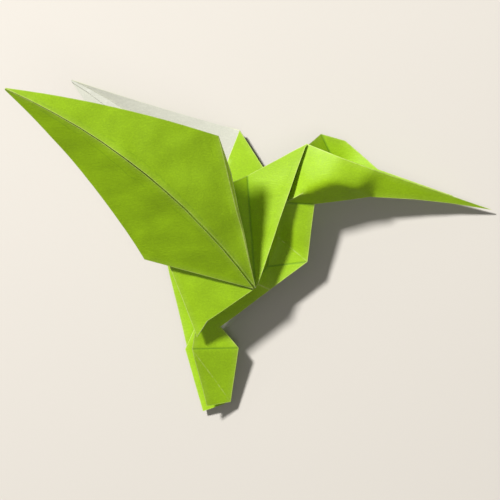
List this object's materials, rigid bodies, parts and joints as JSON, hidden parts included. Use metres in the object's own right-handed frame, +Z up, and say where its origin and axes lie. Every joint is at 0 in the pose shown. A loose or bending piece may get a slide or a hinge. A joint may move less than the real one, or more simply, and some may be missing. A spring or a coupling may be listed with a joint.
{
  "type": "origami hummingbird",
  "caption": "Hummingbird folded from one square of two-sided paper, with raised wings, a long beak and a short tail, for display or hanging.",
  "frame": {"origin": "centre of the bird's box, on the surface that it lies on", "axes": "+X towards the beak, +Y towards the raised wings, +Z up from the surface, out of the bird's right side"},
  "size_m": [0.138, 0.1052, 0.0666],
  "materials": {
    "folded_sheet": "matt paper, yellow-green on its outer side and white on its reverse"
  },
  "bodies": {
    "root": {"folded_sheet": "folded_sheet"}
  },
  "joints": []
}
